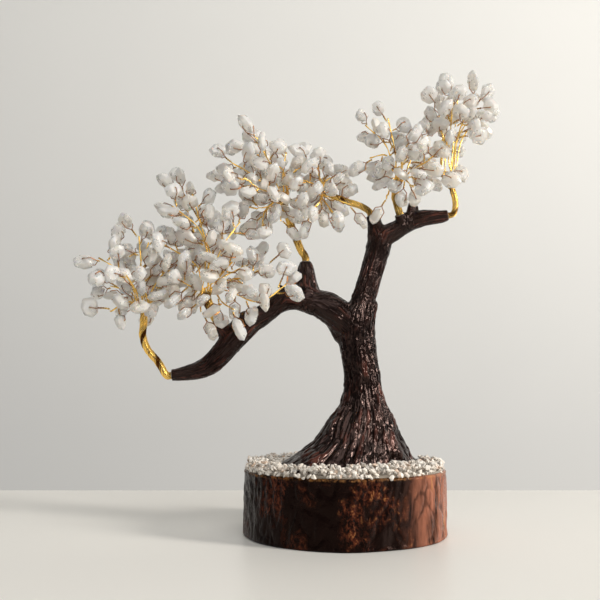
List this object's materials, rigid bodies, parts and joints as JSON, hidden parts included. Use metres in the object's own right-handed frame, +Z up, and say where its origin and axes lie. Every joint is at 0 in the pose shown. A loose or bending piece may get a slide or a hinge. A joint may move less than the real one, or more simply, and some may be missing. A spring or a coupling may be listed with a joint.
{
  "type": "gemstone tree ornament",
  "caption": "Free-standing ornament: drilled white quartz chips on twisted gold-coloured wire, set in a cast dark tree trunk on a bark-edged log slice with crushed quartz.",
  "frame": {"origin": "centre of the log's underside, on the surface that the ornament stands on", "axes": "+Z up, -Y towards the viewer of the picture, +X towards the raised arm"},
  "size_m": [0.2206, 0.1005, 0.2404],
  "materials": {
    "bark_wood": "lacquered bark, near-black brown mottled with red-brown and ochre",
    "screw_steel": "bright zinc",
    "trunk_resin": "glossy near-black brown cast resin, grooved like bark",
    "clear_glue": "clear cured adhesive",
    "crushed_quartz": "crushed white and clear quartz",
    "gold_wire": "bright gold-coloured wire",
    "quartz_chip": "tumbled milky translucent quartz"
  },
  "bodies": {
    "root": {"log_base": "bark_wood", "base_screws": "screw_steel", "trunk": "trunk_resin", "glue_bed": "clear_glue", "socket_glue": "clear_glue", "gravel_front": "crushed_quartz", "gravel_back": "crushed_quartz", "gravel_left": "crushed_quartz", "gravel_right": "crushed_quartz", "gold_stem_left_tip": "gold_wire", "gold_stem_left_stub": "gold_wire", "gold_stem_peak": "gold_wire", "gold_stem_fork_stub": "gold_wire", "gold_stem_arm_nub": "gold_wire", "gold_stem_arm_tip": "gold_wire", "gold_twigs_left_tip": "gold_wire", "gold_twigs_left_stub": "gold_wire", "gold_twigs_peak": "gold_wire", "gold_twigs_fork_stub": "gold_wire", "gold_twigs_arm_nub": "gold_wire", "gold_twigs_arm_tip": "gold_wire", "quartz_chips_left_tip": "quartz_chip", "quartz_chips_left_stub": "quartz_chip", "quartz_chips_peak": "quartz_chip", "quartz_chips_fork_stub": "quartz_chip", "quartz_chips_arm_nub": "quartz_chip", "quartz_chips_arm_tip": "quartz_chip"}
  },
  "joints": []
}
